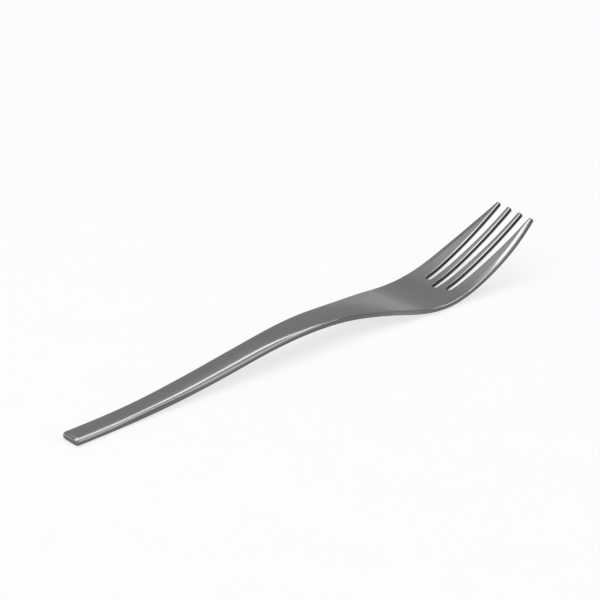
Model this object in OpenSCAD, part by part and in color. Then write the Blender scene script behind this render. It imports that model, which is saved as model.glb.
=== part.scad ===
// Four-tined table fork, pressed from one blank of stainless steel and ground smooth.
// It lies on a table on two places: the underside of the handle's end and the belly of the head.
// +X runs from the handle's end to the tine tips, +Y to the left and +Z up.
// The origin is on the table, under the middle of the fork.

/* [Overall] */
// Length along the fork's curve, from the handle's end to the tine tips
fork_l = 205.2; // [195:0.1:215]
// Depth of the two flats that rest on the table
rest_flat = 0.1; // [0.06:0.01:0.16]

/* [Bends] */
// Upward turn of the handle, in degrees
rise_turn = 8.4; // [6:0.1:14]
// Length of handle over which it turns upwards, from the handle's end
rise_l = 68; // [60:1:85]
// Downward turn over the crest of the handle, in degrees
crest_turn = 22; // [18:0.1:27]
// Start of the crest, measured back from the tips
crest_back = 133.5; // [128:0.5:145]
// Length of the crest
crest_l = 73; // [65:0.5:85]
// Upward turn of the belly, in degrees
belly_turn = 37.2; // [30:0.1:42]
// Start of the belly, measured back from the tips
belly_back = 67; // [62:0.5:71]
// Length of the belly
belly_l = 40.5; // [34:0.5:46]
// Last upward sweep of the tines, in degrees
sweep_turn = 9.6; // [6:0.1:14]
// Start of the sweep, measured back from the tips
sweep_back = 35; // [30:1:40]
// Length over which the sweep would be complete
sweep_l = 40; // [34:1:46]

/* [Handle] */
// Width near the handle's end
end_w = 8.1; // [7:0.1:9]
// Length of the rounding at the handle's end
end_l = 1.7; // [1.2:0.1:3]
// Thickness at the handle's end
end_t = 2.95; // [2.6:0.05:3.3]
// Width of the handle once it has widened
handle_w = 9.9; // [8.5:0.1:11]
// Where the handle starts to widen, from its end
widen_at = 17; // [12:1:22]
// Length over which the handle widens
widen_l = 56; // [48:1:62]
// Greatest thickness of the handle
swell_t = 3.2; // [2.7:0.05:3.6]
// Place of the greatest thickness, from the handle's end
swell_at = 54; // [45:1:65]
// Drop of the crowned top at the handle's edges
crown_h = 0.3; // [0.1:0.05:0.35]
// Where the crown starts to fade, measured back from the tips
crown_back = 85; // [78:1:92]
// Where the crown has faded, measured back from the tips
crown_past = 65; // [58:1:72]
// Width of the roll from top to side at the handle's end
end_roll_w = 1.2; // [0.8:0.1:1.6]
// Width of the roll from top to side on the widened handle
handle_roll_w = 2; // [1.2:0.1:2.4]
// Height of the roll from the handle's top to its side
handle_roll_h = 1.2; // [0.6:0.05:1.4]
// Height of the roll on the handle's underside
under_roll_h = 0.9; // [0.5:0.05:1.2]
// Where the roll has become as fine as the head's, measured back from the tips
neck_roll_back = 89; // [80:1:100]

/* [Neck and head] */
// Width at the neck
neck_w = 10.8; // [9:0.1:12]
// Place of the neck, measured back from the tips
neck_back = 97; // [92:0.5:106]
// Greatest width of the head
head_w = 25.7; // [24:0.1:28]
// Place of the greatest width, measured back from the tips
head_back = 43; // [39:0.5:47]
// Thickness of the palm
head_t = 2.35; // [2.1:0.05:2.8]
// Where the thickness has fallen to the palm's, measured back from the tips
thin_back = 67; // [60:1:75]
// Where the palm starts to thin towards the tines, measured back from the tips
fall_back = 62; // [56:1:66]
// Place where the hollow is deepest, measured back from the tips
palm_back = 50; // [46:1:58]
// Depth of the hollow across the palm
dish_h = 0.2; // [0.1:0.05:0.8]
// Start of the hollow, measured back from the tips
dish_back = 75; // [68:1:92]
// Rise of the rounded back at its edges, under the neck and the palm
back_h = 0.7; // [0.2:0.05:0.75]
// Place where the back is roundest, measured back from the tips
back_back = 67; // [60:1:72]
// Width of the roll at the head's edges
head_roll_w = 0.45; // [0.3:0.05:1.2]
// Height of the roll at the head's upper edges
head_roll_h = 0.45; // [0.3:0.05:0.65]
// Height of the roll at the head's lower edges
head_under_h = 0.4; // [0.3:0.05:0.55]

/* [Tines] */
// Length of the two outer slots
slot_l = 41; // [37:0.5:44]
// How much deeper the middle slot runs into the palm
mid_extra = 2; // [1:0.1:3]
// Width of the slots at their roots
root_gap = 2.3; // [1.9:0.1:2.7]
// Width of the slots at the tips
tip_gap = 3.8; // [3.5:0.1:4.2]
// Distance between slots at their roots
root_pitch = 5.25; // [4.9:0.05:5.6]
// Distance between slots at the tips
tip_pitch = 5.6; // [5.4:0.05:6]
// Width of an outer tine at its tip
tip_w = 1.6; // [1.4:0.05:2]
// Thickness of the tines
tine_t = 1.65; // [1.3:0.05:2]
// Place where the tines' thickness is reached, measured back from the tips
fallen_back = 36; // [30:1:40]
// Length of the rounding at a tip
tip_l = 0.7; // [0.5:0.05:1]
// Width of the roll at the tines' edges beside the slots
tine_roll_w = 0.7; // [0.4:0.05:0.9]
// Width of the bevel ground on the outer edges of the outer tines
bevel_w = 1.6; // [1:0.1:2]
// Height of the roll and the bevel at the tines' upper edges
tine_roll_h = 0.55; // [0.3:0.05:0.7]

/* [Hidden] */
steel = [0.4, 0.4, 0.405];

// Numbers of steps: along the curve's table, the handle, the head and the tines, and round the ends;
// along the join under a slot, over a roll, and across the blank
curve_steps = 205;
handle_steps = 24;
head_steps = 28;
tine_steps = 13;
end_steps = 12;
tip_steps = 6;
root_steps = 8;
base_steps = 4;
roll_steps = 3;
col_steps = 8;

// Shapes, as shares or powers that have no length
round_power = 0.6;
end_round_power = 0.42;
taper_power = 2.7;
end_roll_share = 0.75;
wall_share = 0.45;
tine_wall_share = 0.42;
roll_share = 0.42;
bevel_grow_share = 0.6;
hollow_fade_share = 0.6;

// Places along the curve, counted from the handle's end
crest_at = fork_l - crest_back;
belly_at = fork_l - belly_back;
sweep_at = fork_l - sweep_back;
wide_at = widen_at + widen_l;
neck_roll_at = fork_l - neck_roll_back;
neck_at = fork_l - neck_back;
head_at = fork_l - head_back;
back_at = fork_l - back_back;
thin_at = fork_l - thin_back;
fall_at = fork_l - fall_back;
fallen_at = fork_l - fallen_back;
palm_at = fork_l - palm_back;
dish_at = fork_l - dish_back;
crown_from = fork_l - crown_back;
crown_to = fork_l - crown_past;
root_at = fork_l - slot_l;
mid_root_at = root_at - mid_extra;
root_r = root_gap / 2;
join_at = mid_root_at - 2 * tine_roll_w;
tines_end = fork_l - tip_l;
hollow_end = root_at + hollow_fade_share * slot_l;
bevel_full_at = root_at + bevel_grow_share * slot_l;

function smooth(x) = let (t = min(max(x, 0), 1)) t * t * (3 - 2 * t);
function between(s, start, stop) = smooth((s - start) / (stop - start));
function blend(a, b, share) = a + (b - a) * share;

// Direction of the curve at distance s, in degrees, before the fork is laid down
function turn(s) = rise_turn * between(s, 0, rise_l)
    - crest_turn * between(s, crest_at, crest_at + crest_l)
    + belly_turn * between(s, belly_at, belly_at + belly_l)
    + sweep_turn * between(s, sweep_at, sweep_at + sweep_l);

// Outline: half the width, the thickness and the edges of the slots at distance s
tip_half_w = tip_pitch + tip_gap / 2 + tip_w;
function taper(s) = pow(min(max((s - head_at) / (fork_l - head_at), 0), 1), taper_power);
function widened(s) = between(s, widen_at, wide_at);
function narrowed(s) = between(s, wide_at, neck_roll_at);
function plain_w(s) = blend(blend(end_w, handle_w, widened(s)), neck_w, between(s, wide_at, neck_at));
function blank_w(s) = blend(plain_w(s), head_w, between(s, neck_at, head_at));
function half_w(s) = blank_w(s) / 2 - (head_w / 2 - tip_half_w) * taper(s);
function thinned(s) = between(s, swell_at, thin_at);
function plain_t(s) = blend(blend(end_t, swell_t, between(s, 0, swell_at)), head_t, thinned(s));
function thick(s) = blend(plain_t(s), tine_t, between(s, fall_at, fallen_at));
function tine_share(s) = min(max((s - root_at) / slot_l, 0), 1);
function slot_mid(j, s) = (1 - j) * blend(root_pitch, tip_pitch, tine_share(s));
function slot_half(s) = blend(root_gap, tip_gap, tine_share(s)) / 2;

// Left and right edges of tine k, counted from the left
function left_edge(k, s) = k == 0 ? half_w(s) : slot_mid(k - 1, s) - slot_half(s);
function right_edge(k, s) = k == 3 ? -half_w(s) : slot_mid(k, s) + slot_half(s);

// Rolls at the edges: width beside a slot, width at the outer edge, and heights above and below
function slot_roll(s) = min(tine_roll_w, tine_wall_share * (left_edge(1, s) - right_edge(1, s)));
function plain_roll(s) = blend(blend(end_roll_w, handle_roll_w, widened(s)), head_roll_w, narrowed(s));
function ground_roll(s) = blend(plain_roll(s), bevel_w, between(s, root_at, bevel_full_at));
function outer_wall(s) = s > root_at ? left_edge(0, s) - right_edge(0, s) : half_w(s);
function outer_roll(s) = min(ground_roll(s), wall_share * outer_wall(s));
function plain_top_roll(s) = blend(handle_roll_h, head_roll_h, narrowed(s));
function ground_top_roll(s) = blend(plain_top_roll(s), tine_roll_h, between(s, root_at, bevel_full_at));
function top_roll(s) = min(ground_top_roll(s), roll_share * thick(s));
function under_roll(s) = min(blend(under_roll_h, head_under_h, thinned(s)), roll_share * thick(s));

// Forms across the width: the crown of the handle's top, the hollow of the palm and the rounded back
function crowned(s) = 1 - between(s, crown_from, crown_to);
function crown(s, y) = crown_h * crowned(s) * pow(y / half_w(s), 2);
function dished(s) = between(s, dish_at, palm_at) * (1 - between(s, root_at, hollow_end));
function hollow(s, y) = dish_h * dished(s) * pow(y / half_w(s), 2);
function backed(s) = between(s, neck_at, back_at) * (1 - between(s, back_at, sweep_at));
function back_round(s, y) = back_h * backed(s) * pow(y / half_w(s), 2);

// The curve itself: distance, x and z, and the underside that touches the table
curve_step = fork_l / curve_steps;
curve = [for (i = 0, x = 0, z = 0; i <= curve_steps;
    x = x + curve_step * cos(turn((i + 1/2) * curve_step)),
    z = z + curve_step * sin(turn((i + 1/2) * curve_step)),
    i = i + 1) [i * curve_step, x, z]];
under = [for (c = curve) let (a = turn(c[0]), h = thick(c[0]) / 2)
    [c[0], c[1] + h * sin(a), c[2] - h * cos(a)]];
handle_under = [for (u = under) if (u[0] > end_l && u[0] < rise_l) u];
belly_under = [for (u = under) if (u[0] > neck_at) u];

// Angle of the table, seen from the fork: it touches the handle's underside and the belly
lay = max([for (a = handle_under) min([for (b = belly_under) atan2(b[2] - a[2], b[1] - a[1])])]);
laid_x = [for (c = curve) [c[0], c[1] * cos(lay) + c[2] * sin(lay)]];
laid_z = [for (c = curve) [c[0], c[2] * cos(lay) - c[1] * sin(lay)]];
table_z = min([for (u = under) u[2] * cos(lay) - u[1] * sin(lay)]) + rest_flat;

// A point at distance s and width y, h above the middle surface; the rest flats are cut at the table
function laid(s, y, h) = let (a = turn(s) - lay, k = h + hollow(s, y))
    [lookup(s, laid_x) - k * sin(a), y, max(0, lookup(s, laid_z) + k * cos(a) - table_z)];

// Stations along the handle and the palm, and along the tines from the palm on
last = tine_steps + 2;
body_steps = handle_steps + head_steps;
body_s = concat([for (i = [0 : handle_steps]) blend(end_l, neck_at, i / handle_steps)],
    [for (i = [1 : head_steps]) blend(neck_at, join_at, i / head_steps)]);
tine_s = concat([join_at, mid_root_at + root_r],
    [for (i = [0 : tine_steps]) blend(root_at + root_r, tines_end, i / tine_steps)]);

// First station of each tine's left and right edges, and the station at each slot's root
left_first = [1, 2, 1, 2];
right_first = [2, 1, 2, 1];
root_station = [2, 1, 2];

// A blunt round end between two edges: share of its length left, and share of its half width
function blunt(t, power) = [1 - pow(max(0, cos(t)), power), sign(sin(t)) * pow(abs(sin(t)), power)];

// The rim, as distance and width, set in from the outline by a share of the roll
function handle_end(inset) = let (w = half_w(end_l) - inset * outer_roll(end_l),
    l = end_l * (1 - end_roll_share * inset))
    [for (i = [0 : end_steps]) let (b = blunt(180 * i / end_steps - 90, end_round_power))
        [end_l - l * (1 - b[0]), w * b[1]]];
function left_y(k, s, inset) = left_edge(k, s) - inset * (k == 0 ? outer_roll(s) : slot_roll(s));
function right_y(k, s, inset) = right_edge(k, s) + inset * (k == 3 ? outer_roll(s) : slot_roll(s));
function tine_tip(k, inset) = let (a = left_y(k, tines_end, inset), b = right_y(k, tines_end, inset),
    l = tip_l * (1 - end_roll_share * inset))
    [for (i = [1 : tip_steps - 1]) let (c = blunt(90 - 180 * i / tip_steps, round_power))
        [tines_end + l * (1 - c[0]), (a + b) / 2 + c[1] * (a - b) / 2]];
function slot_root(j, inset) = let (s = tine_s[root_station[j]], r = root_r + inset * slot_roll(s))
    [for (i = [1 : root_steps - 1]) let (t = 90 - 180 * i / root_steps)
        [s - r * cos(t), slot_mid(j, s) + r * sin(t)]];
function tine(k, inset) = concat(
    [for (i = [left_first[k] : last]) [tine_s[i], left_y(k, tine_s[i], inset)]],
    tine_tip(k, inset),
    [for (i = [last : -1 : right_first[k]]) [tine_s[i], right_y(k, tine_s[i], inset)]],
    k < 3 ? slot_root(k, inset) : []);
function rim(inset) = concat(
    handle_end(inset),
    [for (i = [1 : body_steps]) [body_s[i], left_y(0, body_s[i], inset)]],
    [for (k = [0 : 3]) each tine(k, inset)],
    [for (i = [body_steps : -1 : 1]) [body_s[i], right_y(3, body_s[i], inset)]]);

// Inner points of one face: across the body, along the join and beside the outer slots' roots
function root_side(j, s, share) = let (r = root_r + slot_roll(s)) slot_mid(j, s) + r * (1 - 2 * share);
body_grid = [for (i = [1 : body_steps - 1]) for (j = [1 : col_steps - 1])
    [body_s[i], blend(left_y(0, body_s[i], 1), right_y(3, body_s[i], 1), j / col_steps)]];
join_row = [for (j = [0 : 2]) for (i = [0 : base_steps]) [join_at, root_side(j, join_at, i / base_steps)]];
root_cols = [for (j = [0, 2]) for (side = [0, 1]) [tine_s[1], root_side(j, tine_s[1], side)]];
face_grid = concat(body_grid, join_row, root_cols);

// All points, the top face's first; each face has its rolls from the edge inwards, then its inner points
rim_n = len(rim(0));
face_n = (roll_steps + 1) * rim_n + len(face_grid);
function roll_out(level) = 1 - cos(90 * level / roll_steps);
function roll_down(level) = 1 - sin(90 * level / roll_steps);
function top_h(s, y, level) = thick(s) / 2 - crown(s, y) - roll_down(level) * top_roll(s);
function under_h(s, y, level) = roll_down(level) * under_roll(s) + back_round(s, y) - thick(s) / 2;
function face_h(s, y, level, top) = top ? top_h(s, y, level) : under_h(s, y, level);
function face_point(p, level, top) = laid(p[0], p[1], face_h(p[0], p[1], level, top));
function face_points(top) = concat(
    [for (level = [0 : roll_steps]) for (p = rim(roll_out(level))) face_point(p, level, top)],
    [for (p = face_grid) face_point(p, roll_steps, top)]);
raw_points = concat(face_points(true), face_points(false));
raw_x = [for (p = raw_points) p[0]];
middle = [(min(raw_x) + max(raw_x)) / 2, 0, 0];
points = [for (p = raw_points) p - middle];

// Places in the list of points: the start of each tine, and the points of the innermost rim
function tine_n(k) = 2 * last - left_first[k] - right_first[k] + tip_steps + 1;
function tine_start(k) = k == 0
    ? end_steps + body_steps + 1
    : tine_start(k - 1) + tine_n(k - 1) + root_steps - 1;
inner = roll_steps * rim_n;
grid_start = inner + rim_n;
join_start = grid_start + len(body_grid);
cols_start = join_start + len(join_row);
body_left = [for (i = [0 : body_steps]) inner + end_steps + i];
body_right = [for (i = [0 : body_steps]) inner + (i == 0 ? 0 : rim_n - i)];
function slot_base(j) = [for (i = [0 : base_steps]) join_start + j * (base_steps + 1) + i];
function col(j, side) = cols_start + j + side;
function body_row(i) = i == body_steps
    ? concat([body_left[i]], slot_base(0), slot_base(1), slot_base(2), [body_right[i]])
    : concat([body_left[i]],
        [for (j = [0 : col_steps - 2]) grid_start + (i - 1) * (col_steps - 1) + j], [body_right[i]]);
function left_chain(k) = concat(
    k == 0 ? [body_left[body_steps]] : [slot_base(k - 1)[base_steps]],
    left_first[k] == 2 ? [col(k - 1, 1)] : [],
    [for (i = [left_first[k] : last]) inner + tine_start(k) + i - left_first[k]]);
function right_chain(k) = concat(
    k == 3 ? [body_right[body_steps]] : [slot_base(k)[0]],
    right_first[k] == 2 ? [col(k, 0)] : [],
    [for (i = [right_first[k] : last]) inner + tine_start(k) + 2 * last - left_first[k] + tip_steps - i]);
function tip_chain(k) = [for (i = [0 : tip_steps]) inner + tine_start(k) + last - left_first[k] + i];
function root_chain(j) = concat([right_chain(j)[root_station[j]]],
    [for (i = [0 : root_steps - 2]) inner + tine_start(j) + tine_n(j) + i],
    [left_chain(j + 1)[root_station[j]]]);
function base_chain(j) = concat(
    [for (i = [root_station[j] : -1 : 1]) right_chain(j)[i]],
    slot_base(j),
    [for (i = [1 : root_station[j]]) left_chain(j + 1)[i]]);

// Triangles between two chains of points; seen from outside, b lies to the left of the way along a
function even(chain) = [for (i = [0 : len(chain) - 1]) i / (len(chain) - 1)];
function across(chain) = [for (i = chain) -raw_points[i][1]];
function band(a, b, ta, tb) = [for (i = 0, j = 0, go = ta[1] <= tb[1]; i + j < len(a) + len(b) - 2;
    step_a = go ? 1 : 0,
    i = i + step_a,
    j = j + 1 - step_a,
    go = j == len(b) - 1 || (i < len(a) - 1 && ta[i + 1] <= tb[j + 1]))
    let (tri = go ? [b[j], a[i + 1], a[i]] : [b[j], b[j + 1], a[i]])
    if (tri[0] != tri[1] && tri[1] != tri[2] && tri[0] != tri[2]) tri];
function strip(a, b) = band(a, b, even(a), even(b));
function row(a, b) = band(a, b, across(a), across(b));
function ring(start) = [for (i = [0 : rim_n]) start + i % rim_n];
function turned(faces) = [for (f = faces) [f[2], f[1], f[0]]];

// One face of the fork, as triangles of its own points
face = concat(
    [for (level = [0 : roll_steps - 1]) each strip(ring((level + 1) * rim_n), ring(level * rim_n))],
    row([for (i = [end_steps : -1 : 0]) inner + i], body_row(1)),
    [for (i = [1 : body_steps - 1]) each row(body_row(i), body_row(i + 1))],
    [for (k = [0 : 3]) each strip(right_chain(k), left_chain(k))],
    [for (k = [0 : 3]) each strip([tip_chain(k)[0], tip_chain(k)[tip_steps]], tip_chain(k))],
    [for (j = [0 : 2]) each strip(base_chain(j), root_chain(j))]);
faces = concat(face,
    turned([for (f = face) [for (i = f) i + face_n]]),
    strip(ring(0), ring(face_n)));

module fork() {
    color(steel) polyhedron(points = points, faces = faces, convexity = 8);
}

fork();
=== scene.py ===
import math

import bpy
import numpy as np
from mathutils import Matrix, Vector


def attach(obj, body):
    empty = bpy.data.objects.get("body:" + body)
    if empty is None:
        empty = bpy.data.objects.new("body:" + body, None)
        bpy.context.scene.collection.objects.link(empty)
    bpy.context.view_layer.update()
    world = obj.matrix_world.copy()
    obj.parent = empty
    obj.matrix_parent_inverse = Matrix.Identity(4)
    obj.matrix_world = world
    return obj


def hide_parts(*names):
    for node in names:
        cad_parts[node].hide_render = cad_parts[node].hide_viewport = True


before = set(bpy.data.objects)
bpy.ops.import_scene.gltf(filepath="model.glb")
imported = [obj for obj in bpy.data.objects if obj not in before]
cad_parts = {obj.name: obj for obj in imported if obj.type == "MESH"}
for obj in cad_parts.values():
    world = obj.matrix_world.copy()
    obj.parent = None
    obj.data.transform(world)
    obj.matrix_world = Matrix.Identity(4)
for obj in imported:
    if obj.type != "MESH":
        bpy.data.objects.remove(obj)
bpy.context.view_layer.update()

MM = 0.001

# The fork is drawn by the same formulas as in the part's source, in finer steps.
# Sizes are in millimetres and degrees, and are the same as in the part's source down to TIP_L.
# Places with AT, FROM or TO are counted along the fork's curve from the handle's end, and places
# with BACK or PAST from the tine tips.

# Length along the curve, and depth of the two flats that rest on the table
FORK_L = 205.2
REST_FLAT = 0.1

# Bends along the curve: how far each turns, where it starts and how long it is
RISE_TURN, RISE_L = 8.4, 68
CREST_TURN, CREST_BACK, CREST_L = 22, 133.5, 73
BELLY_TURN, BELLY_BACK, BELLY_L = 37.2, 67, 40.5
SWEEP_TURN, SWEEP_BACK, SWEEP_L = 9.6, 35, 40

# Handle's end: width, length of its rounding and thickness
END_W = 8.1
END_L = 1.7
END_T = 2.95
# Widened handle: width, where it starts to widen and over what length
HANDLE_W = 9.9
WIDEN_AT = 17
WIDEN_L = 56
# Greatest thickness of the handle, and its place
SWELL_T = 3.2
SWELL_AT = 54
# Crowned top of the handle: drop at its edges, where it starts to fade and where it has faded
CROWN_H = 0.3
CROWN_BACK = 85
CROWN_PAST = 65
# Rolls from the handle's faces to its sides, and where they have become as fine as the head's
END_ROLL_W = 1.2
HANDLE_ROLL_W = 2
HANDLE_ROLL_H = 1.2
UNDER_ROLL_H = 0.9
NECK_ROLL_BACK = 89

# Neck and head: widths with their places, and the palm's thickness
NECK_W = 10.8
NECK_BACK = 97
HEAD_W = 25.7
HEAD_BACK = 43
HEAD_T = 2.35
# Where the handle's thickness has fallen to the palm's, and where the palm thins to the tines
THIN_BACK = 67
FALL_BACK = 62
FALLEN_BACK = 36
# Hollow across the palm: depth, start and deepest place
DISH_H = 0.2
DISH_BACK = 75
PALM_BACK = 50
# Rounded back: rise at its edges, and the place where it is roundest
BACK_H = 0.7
BACK_BACK = 67
# Rolls at the head's edges
HEAD_ROLL_W = 0.45
HEAD_ROLL_H = 0.45
HEAD_UNDER_H = 0.4

# Slots: length, extra length of the middle one, and widths and spacing at roots and tips
SLOT_L = 41
MID_EXTRA = 2
ROOT_GAP, TIP_GAP = 2.3, 3.8
ROOT_PITCH, TIP_PITCH = 5.25, 5.6
# Tines: width of an outer one at its tip, thickness, and length of a tip's rounding
TIP_W = 1.6
TINE_T = 1.65
TIP_L = 0.7

# The sizes from here on are the scene's own.
# Rolls of the tines: width beside the slots, and height at the upper and the lower edges
TINE_ROLL_W = 0.3
TINE_ROLL_H = 0.32
TINE_UNDER_H = 0.3
# Width of the roll along the outer tines, height of the roll at the tips and where it starts to grow
OUTER_TINE_ROLL_W = 1
TIP_ROLL_H = 0.65
TIP_ROLL_BACK = 24
# Bevels ground along the outer tines' outer edges and beside the slots. Power 1 is flat, 2 is hollow
BEVEL_W, BEVEL_H, BEVEL_POWER = 2, 0.36, 1.1
SLOT_BEVEL_W, SLOT_BEVEL_H, SLOT_BEVEL_POWER = 0.8, 0.17, 2
# How much taller the handle's walls are, under a shallower roll, and where
WALL_RISE_H = 0.3
WALL_RISE_FROM, WALL_RISE_AT, WALL_RISE_TO = 24, 44, 62

# Shapes, as powers or shares that have no length
ROUND_POWER, END_ROUND_POWER, TAPER_POWER = 0.6, 0.42, 2.7
END_ROLL_SHARE, WALL_SHARE, TINE_WALL_SHARE = 0.75, 0.45, 0.42
BEVEL_GROW_SHARE, HOLLOW_FADE_SHARE, BEVEL_TINE_SHARE = 0.6, 0.6, 0.68

# Tines and slots are numbered from the left, from 0
TINES = 4
SLOTS = TINES - 1
LAST_TINE = TINES - 1
MIDDLE_SLOT = 1

# Steps of the surface: along the curve's table, the handle, the head and the tines
CURVE_STEPS = 2052
HANDLE_STEPS, HEAD_STEPS, TINE_STEPS = 170, 110, 84
# Steps round the handle's end, a tip and a root, under a slot, over a roll and across
END_STEPS, TIP_STEPS, ROOT_STEPS = 48, 16, 24
BASE_STEPS, ROLL_STEPS, COL_STEPS, CROSS_STEPS, PATCH_STEPS = 12, 10, 18, 18, 4
# Numbers of the tine stations at which the middle and the outer slots' straight walls start
MID_STATION, OUTER_STATION = 5, 9
ROOT_STATIONS = [OUTER_STATION, MID_STATION, OUTER_STATION]

# Reach up the roll of the walls' dull finish and of their painted shade, a darker tone that stands for
# the shadowed floor they mirror: at 1 it stops near the roll's foot, and at 4 it goes three quarters of
# the way up
NECK_DULL_AND_SHADE, HEAD_DULL_AND_SHADE, OUTER_TINE_DULL_AND_SHADE, SLOT_DULL_AND_SHADE, UNDER_DULL_AND_SHADE = 4.0, 1.3, 7.0, 3.0, 2.5
HANDLE_DULL_AND_SHADE, HANDLE_DULL_AND_SHADE_FROM, HANDLE_DULL_AND_SHADE_AT, HANDLE_DULL_AND_SHADE_TO = 1.3, 12, 30, 52
NECK_DULL_AND_SHADE_FROM, NECK_DULL_AND_SHADE_TO = 111, 119
HEAD_DULL_AND_SHADE_FROM, HEAD_DULL_AND_SHADE_TO = 142, 153
# Beside the shoulders the walls are brighter, a painted lightening: this share of their dullness and
# painted shade is taken off
SHOULDER_LESS_SHADE = 0.08
SHOULDER_FROM, SHOULDER_AT, SHOULDER_TO = 120, 139, 159

# Tones of the steel, darker and lighter: polished faces, then painted shade on the walls and, darker
# still, on the slots' walls, standing for the shadowed floor and the walls that they mirror
POLISHED = ((0.385, 0.386, 0.39), (0.415, 0.416, 0.42))
WALL_SHADE_TONES = ((0.13, 0.13, 0.132), (0.16, 0.16, 0.162))
SLOT_SHADE_TONES = ((0.05, 0.05, 0.052), (0.075, 0.075, 0.077))
# The share of dullness and painted shade at which the walls' darker painted-shade tone starts, and at
# which it is full
WALL_TONE_FROM, WALL_TONE_FULL = 0.78, 0.97
# Roughness of the polish, what its lines add or take, and what the walls add
ROUGH_LOW, ROUGH_HIGH = 0.12, 0.15
LINES_ROUGH = 0.015
WALL_ROUGH = 0.22
# Noise patterns in the steel. A scale is in repeats per metre, all round or along, across and up
LINES_SCALE, LINES_DETAIL, LINES_GRIT = (40, 2600, 2600), 4.0, 0.6
HAIRS_SCALE, HAIRS_DETAIL, HAIRS_GRIT = (90, 5200, 5200), 2.0, 0.5
CLOUDS_SCALE, CLOUDS_DETAIL, CLOUDS_GRIT = 55.0, 3.0, 0.55
# The angle of the hairline scratches to the polishing lines
HAIRS_TURN = 9
# The clouds' share of the polish's tone, where the lines are the rest, and the hairs' in the relief
CLOUDS_SHARE = 0.6
HAIRS_SHARE = 0.5
# The fine relief: how strong it is, and its depth in metres
RELIEF_STRENGTH = 0.25
RELIEF_DEPTH = 0.00001
# Most of a noise pattern lies between these two values
NOISE_LOW, NOISE_HIGH = 0.3, 0.7

# The floor, in metres: a round table top, and how white the eye and the steel see it
TABLE_RADIUS = 6.0
TABLE_CORNERS = 96
TABLE_TONES = ((0.93, 0.93, 0.93), (0.95, 0.95, 0.95))
TABLE_ROUGH = 0.9
GRAIN_SCALE, GRAIN_DETAIL, GRAIN_GRIT = 40.0, 4.0, 0.6
WHITE_SHARE = 0.7
WHITE = (1, 1, 1, 1)

# The studio. Its walls' greys go by the sine of the height over the horizon, and one side is dark:
# its direction in degrees, and the cosines of the angle from it at which it ends and is full
STUDIO_GREY = 0.4
WALL_GREYS = [(0.0, 0.22), (0.13, 0.2), (0.17, 0.14), (0.205, 0.06), (0.245, 0.012), (0.28, 0.0)]
DARK_SIDE = 80
DARK_ENDS, DARK_FULL = 0.8, 0.9
# Soft glows on a ceiling one unit up: place and size along X and Y, and strength
CEILING_GLOWS = [
    (0.02, 0.1, 0.28, 0.75, 0.8),
    (0.56, 0.42, 0.22, 0.33, 0.65),
]
# The least values that the world's sums divide by
LEAST_HEIGHT = 0.02
LEAST_FLAT = 0.001

# Lamps that hang level, in metres: place, size and radiance
LAMP_HEIGHT = 2.0
HANGING_LAMPS = {
    "overhead": ((0.0, -0.24), (1.1, 2.2), 1.7),
    "window": ((0.94, 0.5), (0.4, 0.9), 1.5),
    "window_low": ((1.32, -0.62), (0.48, 0.96), 2.25),
    "window_sill": ((1.56, -2.1), (0.68, 1.5), 0.5),
    "low_window": ((1.06, -1.9), (0.28, 1.4), 1.1),
}
# Lamps that are aimed at the fork's middle
AIMED_LAMPS = {
    "behind": ((-1.0, 0.3, 1.0), (0.7, 0.7), 2.4),
    "side": ((0.806, -1.29, 0.494), (0.6, 0.6), 0.7),
}

# The photo's camera, solved from the fork's outline, in millimetres and degrees: a long lens, far away
CAMERA_ROUND, CAMERA_UP = -40.686, 28.149
CAMERA_DISTANCE = 1423.19
# A point near the fork's middle, and where the photo has it, in pixels from its upper left corner
AIM = (-0.135, 0, 0)
AIM_PX = (300.708, 347.364)
PHOTO_PX = 600
PX_PER_MM = 2.928
SENSOR_W = 36
# The nearest and furthest distance that the camera sees, in metres
CLIP_NEAR, CLIP_FAR = 0.05, 50

# Places along the curve, worked out from the sizes
CREST_AT = FORK_L - CREST_BACK
BELLY_AT = FORK_L - BELLY_BACK
SWEEP_AT = FORK_L - SWEEP_BACK
WIDE_AT = WIDEN_AT + WIDEN_L
CROWN_FROM = FORK_L - CROWN_BACK
CROWN_TO = FORK_L - CROWN_PAST
NECK_ROLL_AT = FORK_L - NECK_ROLL_BACK
NECK_AT = FORK_L - NECK_BACK
HEAD_AT = FORK_L - HEAD_BACK
THIN_AT = FORK_L - THIN_BACK
FALL_AT = FORK_L - FALL_BACK
FALLEN_AT = FORK_L - FALLEN_BACK
DISH_AT = FORK_L - DISH_BACK
PALM_AT = FORK_L - PALM_BACK
BACK_AT = FORK_L - BACK_BACK
ROOT_AT = FORK_L - SLOT_L
MID_ROOT_AT = ROOT_AT - MID_EXTRA
JOIN_AT = MID_ROOT_AT - 2 * TINE_ROLL_W
TINES_END = FORK_L - TIP_L
TIP_ROLL_AT = FORK_L - TIP_ROLL_BACK
HOLLOW_END = ROOT_AT + HOLLOW_FADE_SHARE * SLOT_L
BEVEL_FULL_AT = ROOT_AT + BEVEL_GROW_SHARE * SLOT_L

ROOT_R = ROOT_GAP / 2
TIP_HALF_W = TIP_PITCH + TIP_GAP / 2 + TIP_W


def between(s, start, stop):
    """A smooth step from 0 at start to 1 at stop."""
    t = np.clip((np.asarray(s, float) - start) / (stop - start), 0, 1)
    return t * t * (3 - 2 * t)


def bump(s, start, top, stop):
    """A smooth rise from 0 at start to 1 at top, and back to 0 at stop."""
    return between(s, start, top) * (1 - between(s, top, stop))


def blend(a, b, share):
    return a + (b - a) * share


def turn(s):
    """Direction of the fork's curve at distance s, in degrees, before the fork is laid down."""
    return (
        RISE_TURN * between(s, 0, RISE_L)
        - CREST_TURN * between(s, CREST_AT, CREST_AT + CREST_L)
        + BELLY_TURN * between(s, BELLY_AT, BELLY_AT + BELLY_L)
        + SWEEP_TURN * between(s, SWEEP_AT, SWEEP_AT + SWEEP_L)
    )


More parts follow.
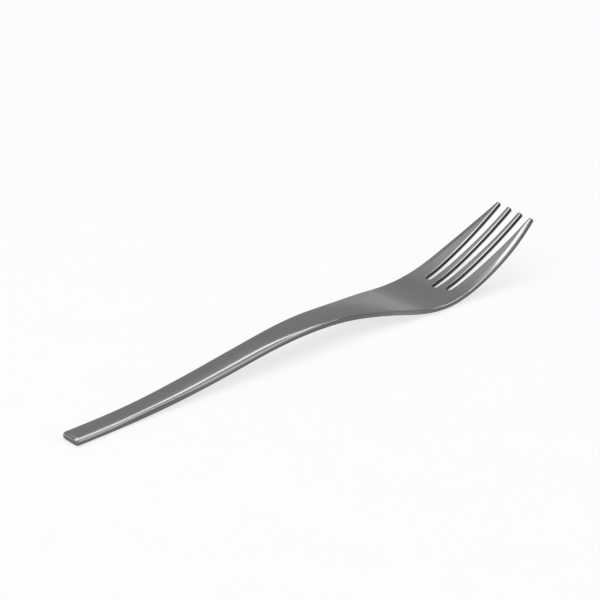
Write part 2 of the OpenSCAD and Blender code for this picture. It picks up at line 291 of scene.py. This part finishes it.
def widened(s):
    return between(s, WIDEN_AT, WIDE_AT)


def narrowed(s):
    return between(s, WIDE_AT, NECK_ROLL_AT)


def thinned(s):
    return between(s, SWELL_AT, THIN_AT)


def half_w(s):
    """Half the width of the outline."""
    handle = blend(blend(END_W, HANDLE_W, widened(s)), NECK_W, between(s, WIDE_AT, NECK_AT))
    blank = blend(handle, HEAD_W, between(s, NECK_AT, HEAD_AT))
    taper = np.clip((np.asarray(s, float) - HEAD_AT) / (FORK_L - HEAD_AT), 0, 1) ** TAPER_POWER
    return blank / 2 - (HEAD_W / 2 - TIP_HALF_W) * taper


def thick(s):
    handle = blend(END_T, SWELL_T, between(s, 0, SWELL_AT))
    return blend(blend(handle, HEAD_T, thinned(s)), TINE_T, between(s, FALL_AT, FALLEN_AT))


def tine_share(s):
    return np.clip((np.asarray(s, float) - ROOT_AT) / SLOT_L, 0, 1)


def slot_mid(j, s):
    return (MIDDLE_SLOT - j) * blend(ROOT_PITCH, TIP_PITCH, tine_share(s))


def slot_half(s):
    return blend(ROOT_GAP, TIP_GAP, tine_share(s)) / 2


def left_edge(k, s):
    return half_w(s) if k == 0 else slot_mid(k - 1, s) - slot_half(s)


def right_edge(k, s):
    return -half_w(s) if k == LAST_TINE else slot_mid(k, s) + slot_half(s)


def outer_tine_w(s):
    return left_edge(0, s) - right_edge(0, s)


def slot_roll(s):
    """Width of the roll beside a slot."""
    return np.minimum(TINE_ROLL_W, TINE_WALL_SHARE * (left_edge(1, s) - right_edge(1, s)))


def outer_roll(s):
    """Width of the roll along the outline."""
    plain = blend(blend(END_ROLL_W, HANDLE_ROLL_W, widened(s)), HEAD_ROLL_W, narrowed(s))
    fine = blend(plain, OUTER_TINE_ROLL_W, between(s, ROOT_AT, BEVEL_FULL_AT))
    room = np.where(np.asarray(s) > ROOT_AT, outer_tine_w(s), half_w(s))
    return np.minimum(fine, WALL_SHARE * room)


def top_roll(s):
    """Height of the roll at the upper edges."""
    plain = blend(HANDLE_ROLL_H, HEAD_ROLL_H, narrowed(s))
    plain = plain - WALL_RISE_H * bump(s, WALL_RISE_FROM, WALL_RISE_AT, WALL_RISE_TO)
    fine = blend(plain, TINE_ROLL_H, between(s, PALM_AT, ROOT_AT))
    tip = blend(fine, TIP_ROLL_H, between(s, TIP_ROLL_AT, TINES_END))
    return np.minimum(tip, WALL_SHARE * thick(s))


def under_roll(s):
    """Height of the roll at the lower edges."""
    plain = blend(UNDER_ROLL_H, HEAD_UNDER_H, thinned(s))
    fine = blend(plain, TINE_UNDER_H, between(s, PALM_AT, ROOT_AT))
    return np.minimum(fine, WALL_SHARE * thick(s))


def aside(s, y):
    """The square of the share of the half width at which y lies."""
    return (y / half_w(s)) ** 2


def crown(s, y):
    """How far the handle's top drops towards its edges."""
    return CROWN_H * (1 - between(s, CROWN_FROM, CROWN_TO)) * aside(s, y)


def hollow(s, y):
    """How far the palm's edges are bent up beside its middle."""
    return DISH_H * between(s, DISH_AT, PALM_AT) * (1 - between(s, ROOT_AT, HOLLOW_END)) * aside(s, y)


def back_round(s, y):
    """How far the back rises towards its edges, under the neck and the palm."""
    return BACK_H * between(s, NECK_AT, BACK_AT) * (1 - between(s, BACK_AT, SWEEP_AT)) * aside(s, y)


def bevel(s, inwards, outer):
    """How deep a bevel is, at a distance inwards from an outer edge or from a slot."""
    narrow = np.minimum(1, BEVEL_TINE_SHARE * outer_tine_w(s) / BEVEL_W)
    wide = np.where(outer, BEVEL_W * narrow, SLOT_BEVEL_W)
    deep = np.where(outer, BEVEL_H * narrow, SLOT_BEVEL_H)
    power = np.where(outer, BEVEL_POWER, SLOT_BEVEL_POWER)
    return deep * np.clip(1 - inwards / wide, 0, 1) ** power


def ground(s, y):
    """How far the grinding has taken the tines' upper faces down beside their edges."""
    k = sum((y < slot_mid(j, s)).astype(int) for j in range(SLOTS))
    left = np.choose(k, [left_edge(i, s) for i in range(TINES)]) - y
    right = y - np.choose(k, [right_edge(i, s) for i in range(TINES)])
    both = bevel(s, left, k == 0) + bevel(s, right, k == LAST_TINE)
    return between(s, ROOT_AT, BEVEL_FULL_AT) * both


def laid_curve():
    """The curve as it lies on the table: distance, x, z and direction, with the table at z 0."""
    s = np.linspace(0, FORK_L, CURVE_STEPS + 1)
    middle = np.radians(turn((s[1:] + s[:-1]) / 2))
    step = s[1] - s[0]
    x = np.concatenate([[0], np.cumsum(step * np.cos(middle))])
    z = np.concatenate([[0], np.cumsum(step * np.sin(middle))])
    a = np.radians(turn(s))
    under_x, under_z = x + thick(s) / 2 * np.sin(a), z - thick(s) / 2 * np.cos(a)
    handle, belly = (s > END_L) & (s < RISE_L), s > NECK_AT
    rise = np.arctan2(
        under_z[belly][None] - under_z[handle][:, None],
        under_x[belly][None] - under_x[handle][:, None],
    )
    # The angle by which the curve comes down until the handle and the belly both touch the table
    lay = rise.min(axis=1).max()
    c, n = math.cos(lay), math.sin(lay)
    table = (under_z * c - under_x * n).min() + REST_FLAT
    return s, x * c + z * n, z * c - x * n - table, a - lay


CURVE_S, CURVE_X, CURVE_Z, CURVE_A = laid_curve()


def place(s, y, h):
    """Points at distance s and width y, h above the middle surface, before they are centred.

    Nothing goes below the table, which makes the two flats.
    """
    x, z, a = (np.interp(s, CURVE_S, values) for values in (CURVE_X, CURVE_Z, CURVE_A))
    k = h + hollow(s, y)
    return np.stack([x - k * np.sin(a), y, np.maximum(0, z + k * np.cos(a))], -1)


def blunt(t, power):
    """A blunt round end: share of its length still to go, and share of its half width."""
    c, n = max(0.0, math.cos(t)), math.sin(t)
    return 1 - c ** power, math.copysign(abs(n) ** power, n)


def half_turn(steps):
    """Angles of an even half turn, from 90 degrees down to -90, in radians."""
    return [math.radians(90 - 180 * i / steps) for i in range(steps + 1)]


def stations():
    """Distances of the rows of points on the body, and from the join to the tips on the tines."""
    mid_s, outer_s = MID_ROOT_AT + ROOT_R, ROOT_AT + ROOT_R
    body = [
        np.linspace(END_L, NECK_AT, HANDLE_STEPS + 1),
        np.linspace(NECK_AT, JOIN_AT, HEAD_STEPS + 1)[1:],
    ]
    tines = [
        np.linspace(JOIN_AT, mid_s, MID_STATION + 1),
        np.linspace(mid_s, outer_s, OUTER_STATION - MID_STATION + 1)[1:],
        np.linspace(outer_s, TINES_END, TINE_STEPS + 1)[1:],
    ]
    return np.concatenate(body), np.concatenate(tines)


BODY_S, TINE_S = stations()


def edge_stations(j):
    """The stations of a tine's edge, from slot j's root, or from just after the join if j is no slot."""
    first = ROOT_STATIONS[j] if 0 <= j < SLOTS else 1
    return TINE_S[first:]


class Rim:
    """The outline in distance and width, set in by a share of the roll, as numbered points.

    It runs from the right of the handle's end round that end, along the left side, in and out of
    the slots and back along the right side. The points in cut are on the walls of the slots.
    """

    def __init__(self, inset):
        self.inset, self.points, self.cut = inset, [], set()
        self.left, self.tip, self.right, self.root = [], [], [], []
        self.add_end()
        self.add_chain(BODY_S[1:], 0, self.left_w)
        for k in range(TINES):
            self.left.append(self.add_chain(edge_stations(k - 1), k, self.left_w, k > 0))
            self.add_tip(k)
            right = self.add_chain(edge_stations(k)[::-1], k, self.right_w, k < LAST_TINE)
            self.right.append(right[::-1])
            if k < SLOTS:
                self.add_root(k)
        body_right = self.add_chain(BODY_S[:0:-1], LAST_TINE, self.right_w)
        self.body_left = list(range(END_STEPS, END_STEPS + len(BODY_S)))
        self.body_right = [0, *body_right[::-1]]

    def left_w(self, k, s):
        return left_edge(k, s) - self.inset * (outer_roll(s) if k == 0 else slot_roll(s))

    def right_w(self, k, s):
        return right_edge(k, s) + self.inset * (outer_roll(s) if k == LAST_TINE else slot_roll(s))

    def add(self, s, y, cut=False):
        if cut:
            self.cut.add(len(self.points))
        self.points.append((s, y))
        return len(self.points) - 1

    def add_chain(self, distances, k, width, cut=False):
        """Points along one edge of tine k, or of the body in line with it."""
        return [self.add(s, width(k, s), cut) for s in distances]

    def add_end(self):
        half = self.left_w(0, END_L)
        length = END_L * (1 - END_ROLL_SHARE * self.inset)
        for t in half_turn(END_STEPS):
            to_go, out = blunt(-t, END_ROUND_POWER)
            self.add(END_L - length * (1 - to_go), half * out)

    def add_tip(self, k):
        a, b = self.left_w(k, TINES_END), self.right_w(k, TINES_END)
        length = TIP_L * (1 - END_ROLL_SHARE * self.inset)
        first = len(self.points) - 1
        for t in half_turn(TIP_STEPS)[1:-1]:
            to_go, out = blunt(t, ROUND_POWER)
            self.add(TINES_END + length * (1 - to_go), (a + b) / 2 + out * (a - b) / 2)
        self.tip.append(list(range(first, len(self.points) + 1)))

    def add_root(self, j):
        s = TINE_S[ROOT_STATIONS[j]]
        r = ROOT_R + self.inset * slot_roll(s)
        first = len(self.points) - 1
        for t in half_turn(ROOT_STEPS)[1:-1]:
            self.add(s - r * math.cos(t), slot_mid(j, s) + r * math.sin(t), True)
        self.root.append(list(range(first, len(self.points) + 1)))


def quads(a, b):
    """Faces between two chains as long as each other. Seen from above, b is on the left along a."""
    faces = [list(dict.fromkeys(corners)) for corners in zip(a, a[1:], b[1:], b)]
    return [corners for corners in faces if len(corners) > 2]


def triangles(a, b, at_a, at_b):
    """Faces between any two chains, which keep step by the places of their points."""
    faces = []
    i = j = 0
    while i + j < len(a) + len(b) - 2:
        if j == len(b) - 1 or (i < len(a) - 1 and at_a[i + 1] <= at_b[j + 1]):
            corners = [a[i], a[i + 1], b[j]]
            i += 1
        else:
            corners = [a[i], b[j + 1], b[j]]
            j += 1
        if len(set(corners)) == len(corners):
            faces.append(corners)
    return faces


def joined(chains):
    """Chains that share their end points, as one chain."""
    return chains[0] + [i for chain in chains[1:] for i in chain[1:]]


class Face:
    """One face of the fork in plan: numbered points with their level on the roll, and faces turned up."""

    def __init__(self):
        self.s, self.y, self.level, self.cut, self.faces = [], [], [], [], []
        rims = [Rim(1 - math.cos(math.pi / 2 * i / ROLL_STEPS)) for i in range(ROLL_STEPS + 1)]
        rings = [self.add_ring(rim, level) for level, rim in enumerate(rims)]
        for outer, inner in zip(rings, rings[1:]):
            self.strip(inner + inner[:1], outer + outer[:1])
        self.rim, self.ring, self.outer_ring = rims[-1], rings[-1], rings[0]
        body_left, body_right = self.on(self.rim.body_left), self.on(self.rim.body_right)
        slots = [self.add_under_slot(j) for j in range(SLOTS)]
        join_row = self.add_tines(slots, body_left[-1], body_right[-1])
        self.add_body(body_left, body_right, join_row)

    def add(self, s, y, level=ROLL_STEPS, cut=False):
        self.s.append(float(s))
        self.y.append(float(y))
        self.level.append(level)
        self.cut.append(cut)
        return len(self.s) - 1

    def add_ring(self, rim, level):
        return [self.add(s, y, level, i in rim.cut) for i, (s, y) in enumerate(rim.points)]

    def on(self, numbers):
        """The points of the innermost ring that have these numbers on its rim."""
        return [self.ring[i] for i in numbers]

    def strip(self, a, b):
        """Faces between two chains, spread evenly along both."""
        if len(a) == len(b):
            self.faces += quads(a, b)
        else:
            self.faces += triangles(a, b, np.linspace(0, 1, len(a)), np.linspace(0, 1, len(b)))

    def strip_by_width(self, a, b):
        """Faces between two rows across the fork, each corner near the one with its width."""
        at_a, at_b = ([-self.y[i] for i in chain] for chain in (a, b))
        self.faces += triangles(a, b, at_a, at_b)

    def across(self, a, b, steps):
        """Points between two points of the plan, both included."""
        sa, ya, sb, yb = self.s[a], self.y[a], self.s[b], self.y[b]
        inside = [self.add(blend(sa, sb, i / steps), blend(ya, yb, i / steps)) for i in range(1, steps)]
        return [a, *inside, b]

    def add_rows(self, left, right, steps):
        return [self.across(a, b, steps) for a, b in zip(left, right)]

    def strip_rows(self, rows):
        for lower, upper in zip(rows, rows[1:]):
            self.strip(lower, upper)

    def add_under_slot(self, j):
        """The row under slot j at the join, and the columns that run up beside its root."""

        def side(s, share):
            return slot_mid(j, s) + (ROOT_R + slot_roll(s)) * (1 - 2 * share)

        base = [self.add(JOIN_AT, side(JOIN_AT, i / BASE_STEPS)) for i in range(BASE_STEPS + 1)]
        left, right = (
            [self.add(s, side(s, share)) for s in TINE_S[1:ROOT_STATIONS[j]]] for share in (0, 1)
        )
        return {"left": left, "base": base, "right": right}

    def add_tines(self, slots, first_left, last_right):
        """The tines, and the patches round the roots. Returns the row of points at the join."""
        join, chains = [], []
        for k in range(TINES):
            left, right = [first_left], [last_right]
            if k > 0:
                left = [slots[k - 1]["base"][-1], *slots[k - 1]["right"]]
            if k < LAST_TINE:
                right = [slots[k]["base"][0], *slots[k]["left"]]
            left += self.on(self.rim.left[k])
            right += self.on(self.rim.right[k])
            rows = self.add_rows(left, right, CROSS_STEPS)
            self.strip_rows(rows)
            self.strip(rows[-1], self.on(self.rim.tip[k]))
            chains.append((left, right))
            join.append(rows[0])
            if k < SLOTS:
                join.append(slots[k]["base"])
        for j, station in enumerate(ROOT_STATIONS):
            right, left = chains[j][1], chains[j + 1][0]
            edge = right[station:0:-1] + slots[j]["base"] + left[1:station + 1]
            self.add_patch(edge, self.on(self.rim.root[j]))
        return joined(join)

    def add_patch(self, edge, root):
        """Layers of points between two chains that share their ends."""
        at_edge, at_root = np.linspace(0, 1, len(edge)), np.linspace(0, 1, len(root))
        edge_s, edge_y = (
            np.interp(at_root, at_edge, [values[i] for i in edge]) for values in (self.s, self.y)
        )
        root_s, root_y = (np.array([values[i] for i in root]) for values in (self.s, self.y))
        lower = edge
        for n in range(1, PATCH_STEPS):
            s = blend(edge_s, root_s, n / PATCH_STEPS)
            y = blend(edge_y, root_y, n / PATCH_STEPS)
            layer = [edge[0], *[self.add(a, b) for a, b in zip(s[1:-1], y[1:-1])], edge[-1]]
            self.strip(lower, layer)
            lower = layer
        self.strip(lower, root)

    def add_body(self, left, right, join_row):
        """The handle, the neck and the palm, from the handle's end to the join."""
        rows = self.add_rows(left[1:-1], right[1:-1], COL_STEPS)
        self.strip_by_width(self.ring[END_STEPS::-1], rows[0])
        self.strip_rows(rows)
        self.strip_by_width(rows[-1], join_row)


def dull_and_shade_reach(s):
    """How far the dull finish and the painted shade go up the roll along the outline."""
    low = bump(s, HANDLE_DULL_AND_SHADE_FROM, HANDLE_DULL_AND_SHADE_AT, HANDLE_DULL_AND_SHADE_TO)
    neck = blend(blend(1, HANDLE_DULL_AND_SHADE, low), NECK_DULL_AND_SHADE, between(s, NECK_DULL_AND_SHADE_FROM, NECK_DULL_AND_SHADE_TO))
    head = blend(neck, HEAD_DULL_AND_SHADE, between(s, HEAD_DULL_AND_SHADE_FROM, HEAD_DULL_AND_SHADE_TO))
    return blend(head, OUTER_TINE_DULL_AND_SHADE, between(s, ROOT_AT, BEVEL_FULL_AT))


def dull_and_shade_share(s, level, cut):
    """How dull the points of the top and then of the underside are, and how deep their painted shade is,
    from 0 to 1.
    """
    edge_share = 1 - level / ROLL_STEPS
    top = np.minimum(1, np.where(cut, SLOT_DULL_AND_SHADE, dull_and_shade_reach(s)) * edge_share)
    under = np.minimum(1, UNDER_DULL_AND_SHADE * edge_share)
    shoulder = bump(s, SHOULDER_FROM, SHOULDER_AT, SHOULDER_TO)
    return np.concatenate([top, under]) * (1 - SHOULDER_LESS_SHADE * np.tile(shoulder, 2))


def fork_mesh():
    """The fork's surface: one plan serves the top and the underside, and a wall joins the two."""
    plan = Face()
    s, y, level = np.array(plan.s), np.array(plan.y), np.array(plan.level, float)
    down = 1 - np.sin(np.pi / 2 * level / ROLL_STEPS)
    top = place(s, y, thick(s) / 2 - crown(s, y) - ground(s, y) - down * top_roll(s))
    under = place(s, y, down * under_roll(s) + back_round(s, y) - thick(s) / 2)
    points = np.concatenate([top, under])
    points[:, 0] -= (points[:, 0].min() + points[:, 0].max()) / 2

    count = len(s)
    edge = plan.outer_ring + plan.outer_ring[:1]
    faces = plan.faces + [[i + count for i in reversed(corners)] for corners in plan.faces]
    faces += quads(edge, [i + count for i in edge])
    mesh = bpy.data.meshes.new("fork_surface")
    mesh.from_pydata((points * MM).tolist(), [], faces)
    mesh.update()

    dull_and_shade = dull_and_shade_share(s, level, plan.cut)
    # rim carries the walls' dullness and painted shade, and slot the same on the slots' walls only
    for name, values in (("rim", dull_and_shade), ("slot", dull_and_shade * np.tile(plan.cut, 2))):
        attribute = mesh.attributes.new(name, "FLOAT", "POINT")
        attribute.data.foreach_set("value", values.astype(np.float32))
    mesh.polygons.foreach_set("use_smooth", [True] * len(mesh.polygons))
    return mesh


class Nodes:
    """Short calls for making a node material."""

    def __init__(self, tree):
        self.tree = tree
        tree.nodes.clear()

    def new(self, kind, inputs=None, **values):
        node = self.tree.nodes.new(kind)
        for name, value in values.items():
            setattr(node, name, value)
        for name, number in (inputs or {}).items():
            node.inputs[name].default_value = number
        return node

    def link(self, a, b):
        self.tree.links.new(a, b)

    def noise(self, vector, detail, grit, scale=1.0):
        numbers = {"Scale": scale, "Detail": detail, "Roughness": grit}
        node = self.new("ShaderNodeTexNoise", numbers)
        self.link(vector, node.inputs["Vector"])
        return node.outputs["Fac"]

    def stretch(self, vector, scale, degrees=0):
        """The vector, scaled along its three axes and turned about the last one."""
        turned = (0, 0, math.radians(degrees))
        node = self.new("ShaderNodeMapping", {"Scale": scale, "Rotation": turned})
        self.link(vector, node.inputs["Vector"])
        return node.outputs["Vector"]

    def math(self, operation, a, b=0.0, clamp=False):
        node = self.new("ShaderNodeMath", operation=operation, use_clamp=clamp)
        for socket, value in zip(node.inputs, (a, b)):
            if isinstance(value, (int, float)):
                socket.default_value = value
            else:
                self.link(value, socket)
        return node.outputs[0]

    def span(self, value, low, high, to_low, to_high):
        numbers = {"From Min": low, "From Max": high, "To Min": to_low, "To Max": to_high}
        node = self.new("ShaderNodeMapRange", numbers)
        self.link(value, node.inputs["Value"])
        return node.outputs["Result"]

    def mix(self, share, a, b):
        """A mix of two colours. The Mix node's colour sockets have numbers, as their names repeat."""
        node = self.new("ShaderNodeMix", data_type="RGBA")
        for number, value in {0: share, 6: a, 7: b}.items():
            self.link(value, node.inputs[number])
        return node.outputs[2]

    def ramp(self, value, stops):
        node = self.new("ShaderNodeValToRGB")
        # A new stop starts half way, and gets its own position below
        while len(node.color_ramp.elements) < len(stops):
            node.color_ramp.elements.new(0.5)
        for element, (position, colour) in zip(node.color_ramp.elements, stops):
            element.position, element.color = position, (*colour, 1)
        self.link(value, node.inputs["Fac"])
        return node.outputs["Color"]

    def tones(self, value, pair):
        """A noise pattern in two tones."""
        return self.ramp(value, list(zip((NOISE_LOW, NOISE_HIGH), pair)))


def new_material(name, **inputs):
    """A material with a Principled shader. Returns it with its nodes, output and shader."""
    material = bpy.data.materials.new(name)
    material.use_nodes = True
    n = Nodes(material.node_tree)
    out = n.new("ShaderNodeOutputMaterial")
    shader = n.new("ShaderNodeBsdfPrincipled", inputs)
    return material, n, out, shader


def steel_material():
    material, n, out, shader = new_material("stainless_steel", Metallic=1.0)
    place_of = n.new("ShaderNodeTexCoord").outputs["Object"]
    rim_of = n.new("ShaderNodeAttribute", attribute_name="rim").outputs["Fac"]
    slot_of = n.new("ShaderNodeAttribute", attribute_name="slot").outputs["Fac"]

    # Polishing lines run along the fork, and hairline scratches cross them at a small angle
    lines = n.noise(n.stretch(place_of, LINES_SCALE), LINES_DETAIL, LINES_GRIT)
    hairs = n.noise(n.stretch(place_of, HAIRS_SCALE, HAIRS_TURN), HAIRS_DETAIL, HAIRS_GRIT)
    clouds = n.noise(place_of, CLOUDS_DETAIL, CLOUDS_GRIT, CLOUDS_SCALE)

    cloudy = n.math("MULTIPLY", clouds, CLOUDS_SHARE)
    pattern = n.math("ADD", cloudy, n.math("MULTIPLY", lines, 1 - CLOUDS_SHARE))
    # The walls take a darker tone as painted shade, standing for the shadowed floor that they mirror, and
    # the slots' walls a darker one still; the walls' extra roughness is their own duller finish
    wall = n.span(rim_of, WALL_TONE_FROM, WALL_TONE_FULL, 0.0, 1.0)
    slot = n.span(slot_of, WALL_TONE_FROM, WALL_TONE_FULL, 0.0, 1.0)
    plain = n.mix(wall, n.tones(pattern, POLISHED), n.tones(clouds, WALL_SHADE_TONES))
    n.link(n.mix(slot, plain, n.tones(clouds, SLOT_SHADE_TONES)), shader.inputs["Base Color"])

    cloudy_rough = n.span(clouds, NOISE_LOW, NOISE_HIGH, ROUGH_LOW, ROUGH_HIGH)
    lined_rough = n.span(lines, NOISE_LOW, NOISE_HIGH, -LINES_ROUGH, LINES_ROUGH)
    polish = n.math("ADD", cloudy_rough, lined_rough)
    rough = n.math("ADD", polish, n.math("MULTIPLY", wall, WALL_ROUGH))
    n.link(rough, shader.inputs["Roughness"])

    relief = n.new("ShaderNodeBump", {"Strength": RELIEF_STRENGTH, "Distance": RELIEF_DEPTH})
    height = n.math("ADD", lines, n.math("MULTIPLY", hairs, HAIRS_SHARE))
    n.link(height, relief.inputs["Height"])
    n.link(relief.outputs["Normal"], shader.inputs["Normal"])
    n.link(shader.outputs["BSDF"], out.inputs["Surface"])
    return material


def table_material():
    """A pale surface that the eye and the steel see nearly white, and that keeps the fork's shadow."""
    material, n, out, shader = new_material("pale_table", **{
        "Roughness": TABLE_ROUGH,
        "Specular IOR Level": 0.0,
    })
    place_of = n.new("ShaderNodeTexCoord").outputs["Object"]
    grain = n.noise(place_of, GRAIN_DETAIL, GRAIN_GRIT, GRAIN_SCALE)
    n.link(n.tones(grain, TABLE_TONES), shader.inputs["Base Color"])
    white = n.new("ShaderNodeEmission", {"Color": WHITE, "Strength": 1.0})
    ray = n.new("ShaderNodeLightPath").outputs
    mirrored = n.math("ADD", ray["Is Glossy Ray"], ray["Is Transmission Ray"])
    seen = n.math("ADD", ray["Is Camera Ray"], mirrored, clamp=True)
    both = n.new("ShaderNodeMixShader")
    n.link(n.math("MULTIPLY", seen, WHITE_SHARE), both.inputs["Fac"])
    # The two shader sockets share a name, so they go by number
    n.link(shader.outputs["BSDF"], both.inputs[1])
    n.link(white.outputs["Emission"], both.inputs[2])
    n.link(both.outputs["Shader"], out.inputs["Surface"])
    return material


def make_fork():
    fork = bpy.data.objects.new("fork_steel", fork_mesh())
    bpy.context.scene.collection.objects.link(fork)
    fork.data.materials.append(steel_material())
    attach(fork, "root")
    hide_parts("fork")


def make_table():
    """A pale table that runs up to the horizon."""
    bpy.ops.mesh.primitive_circle_add(vertices=TABLE_CORNERS, radius=TABLE_RADIUS, fill_type="NGON")
    table = bpy.context.object
    table.name = "table"
    table.data.materials.append(table_material())


def make_world():
    """A grey studio, lighter at the horizon, with soft glows on its ceiling."""
    w = bpy.data.worlds.new("studio")
    bpy.context.scene.world = w
    w.use_nodes = True
    n = Nodes(w.node_tree)
    out = n.new("ShaderNodeOutputWorld")
    back = n.new("ShaderNodeBackground", {"Color": WHITE})
    way = n.new("ShaderNodeTexCoord").outputs["Generated"]
    parts = n.new("ShaderNodeSeparateXYZ")
    n.link(way, parts.inputs["Vector"])
    x, y, z = (parts.outputs[name] for name in "XYZ")

    # The walls are lightest at the horizon and fade by 16 degrees above it, and one side is dark
    light = n.ramp(z, [(height, (grey, grey, grey)) for height, grey in WALL_GREYS])
    flat = n.math("SQRT", n.math("ADD", n.math("MULTIPLY", x, x), n.math("MULTIPLY", y, y)))
    dark = math.radians(DARK_SIDE)
    along_dark = n.math("MULTIPLY", x, math.cos(dark))
    toward = n.math("ADD", along_dark, n.math("MULTIPLY", y, math.sin(dark)))
    cosine = n.math("DIVIDE", toward, n.math("MAXIMUM", flat, LEAST_FLAT))
    shade = n.span(cosine, DARK_ENDS, DARK_FULL, 1.0, 0.0)
    total = n.math("ADD", n.math("MULTIPLY", light, shade), STUDIO_GREY)

    high = n.math("MAXIMUM", z, LEAST_HEIGHT)
    ceiling_x, ceiling_y = n.math("DIVIDE", x, high), n.math("DIVIDE", y, high)
    for at_x, at_y, size_x, size_y, strength in CEILING_GLOWS:
        gone_x = n.math("DIVIDE", n.math("SUBTRACT", ceiling_x, at_x), size_x)
        gone_y = n.math("DIVIDE", n.math("SUBTRACT", ceiling_y, at_y), size_y)
        far = n.math("ADD", n.math("MULTIPLY", gone_x, gone_x), n.math("MULTIPLY", gone_y, gone_y))
        glow = n.math("EXPONENT", n.math("MULTIPLY", far, -1.0))
        total = n.math("ADD", total, n.math("MULTIPLY", glow, strength))
    n.link(total, back.inputs["Strength"])
    n.link(back.outputs["Background"], out.inputs["Surface"])


def softbox(name, at, aim, size, radiance):
    """A rectangular lamp of even brightness, aimed at a point."""
    data = bpy.data.lights.new(name, "AREA")
    data.shape = "RECTANGLE"
    data.size, data.size_y = size
    data.energy = radiance * math.pi * size[0] * size[1]
    lamp = bpy.data.objects.new(name, data)
    lamp.location = at
    lamp.rotation_euler = (Vector(aim) - Vector(at)).to_track_quat("-Z", "Y").to_euler()
    lamp.visible_camera = False
    bpy.context.scene.collection.objects.link(lamp)


def make_lamps():
    for name, (spot, size, radiance) in HANGING_LAMPS.items():
        softbox(name, (*spot, LAMP_HEIGHT), (*spot, 0.0), size, radiance)
    for name, (at, size, radiance) in AIMED_LAMPS.items():
        softbox(name, at, (0.0, 0.0, 0.0), size, radiance)


def make_camera():
    azimuth, elevation = math.radians(CAMERA_ROUND), math.radians(CAMERA_UP)
    right = Vector((math.cos(azimuth), math.sin(azimuth), 0))
    back = Vector((
        math.sin(azimuth) * math.cos(elevation),
        -math.cos(azimuth) * math.cos(elevation),
        math.sin(elevation),
    ))
    up = back.cross(right)
    across = (AIM_PX[0] - PHOTO_PX / 2) / PX_PER_MM
    above = -(AIM_PX[1] - PHOTO_PX / 2) / PX_PER_MM
    data = bpy.data.cameras.new("photo_camera")
    data.sensor_width = SENSOR_W
    data.lens = CAMERA_DISTANCE * PX_PER_MM / PHOTO_PX * SENSOR_W
    data.clip_start, data.clip_end = CLIP_NEAR, CLIP_FAR
    cam = bpy.data.objects.new("photo_camera", data)
    spot = (Vector(AIM) + back * CAMERA_DISTANCE - right * across - up * above) * MM
    turned = Matrix((right, up, back)).transposed()
    cam.matrix_world = Matrix.Translation(spot) @ turned.to_4x4()
    bpy.context.scene.collection.objects.link(cam)
    bpy.context.scene.camera = cam


make_fork()
make_table()
make_world()
make_lamps()
make_camera()

bpy.context.scene.view_settings.view_transform = "Standard"
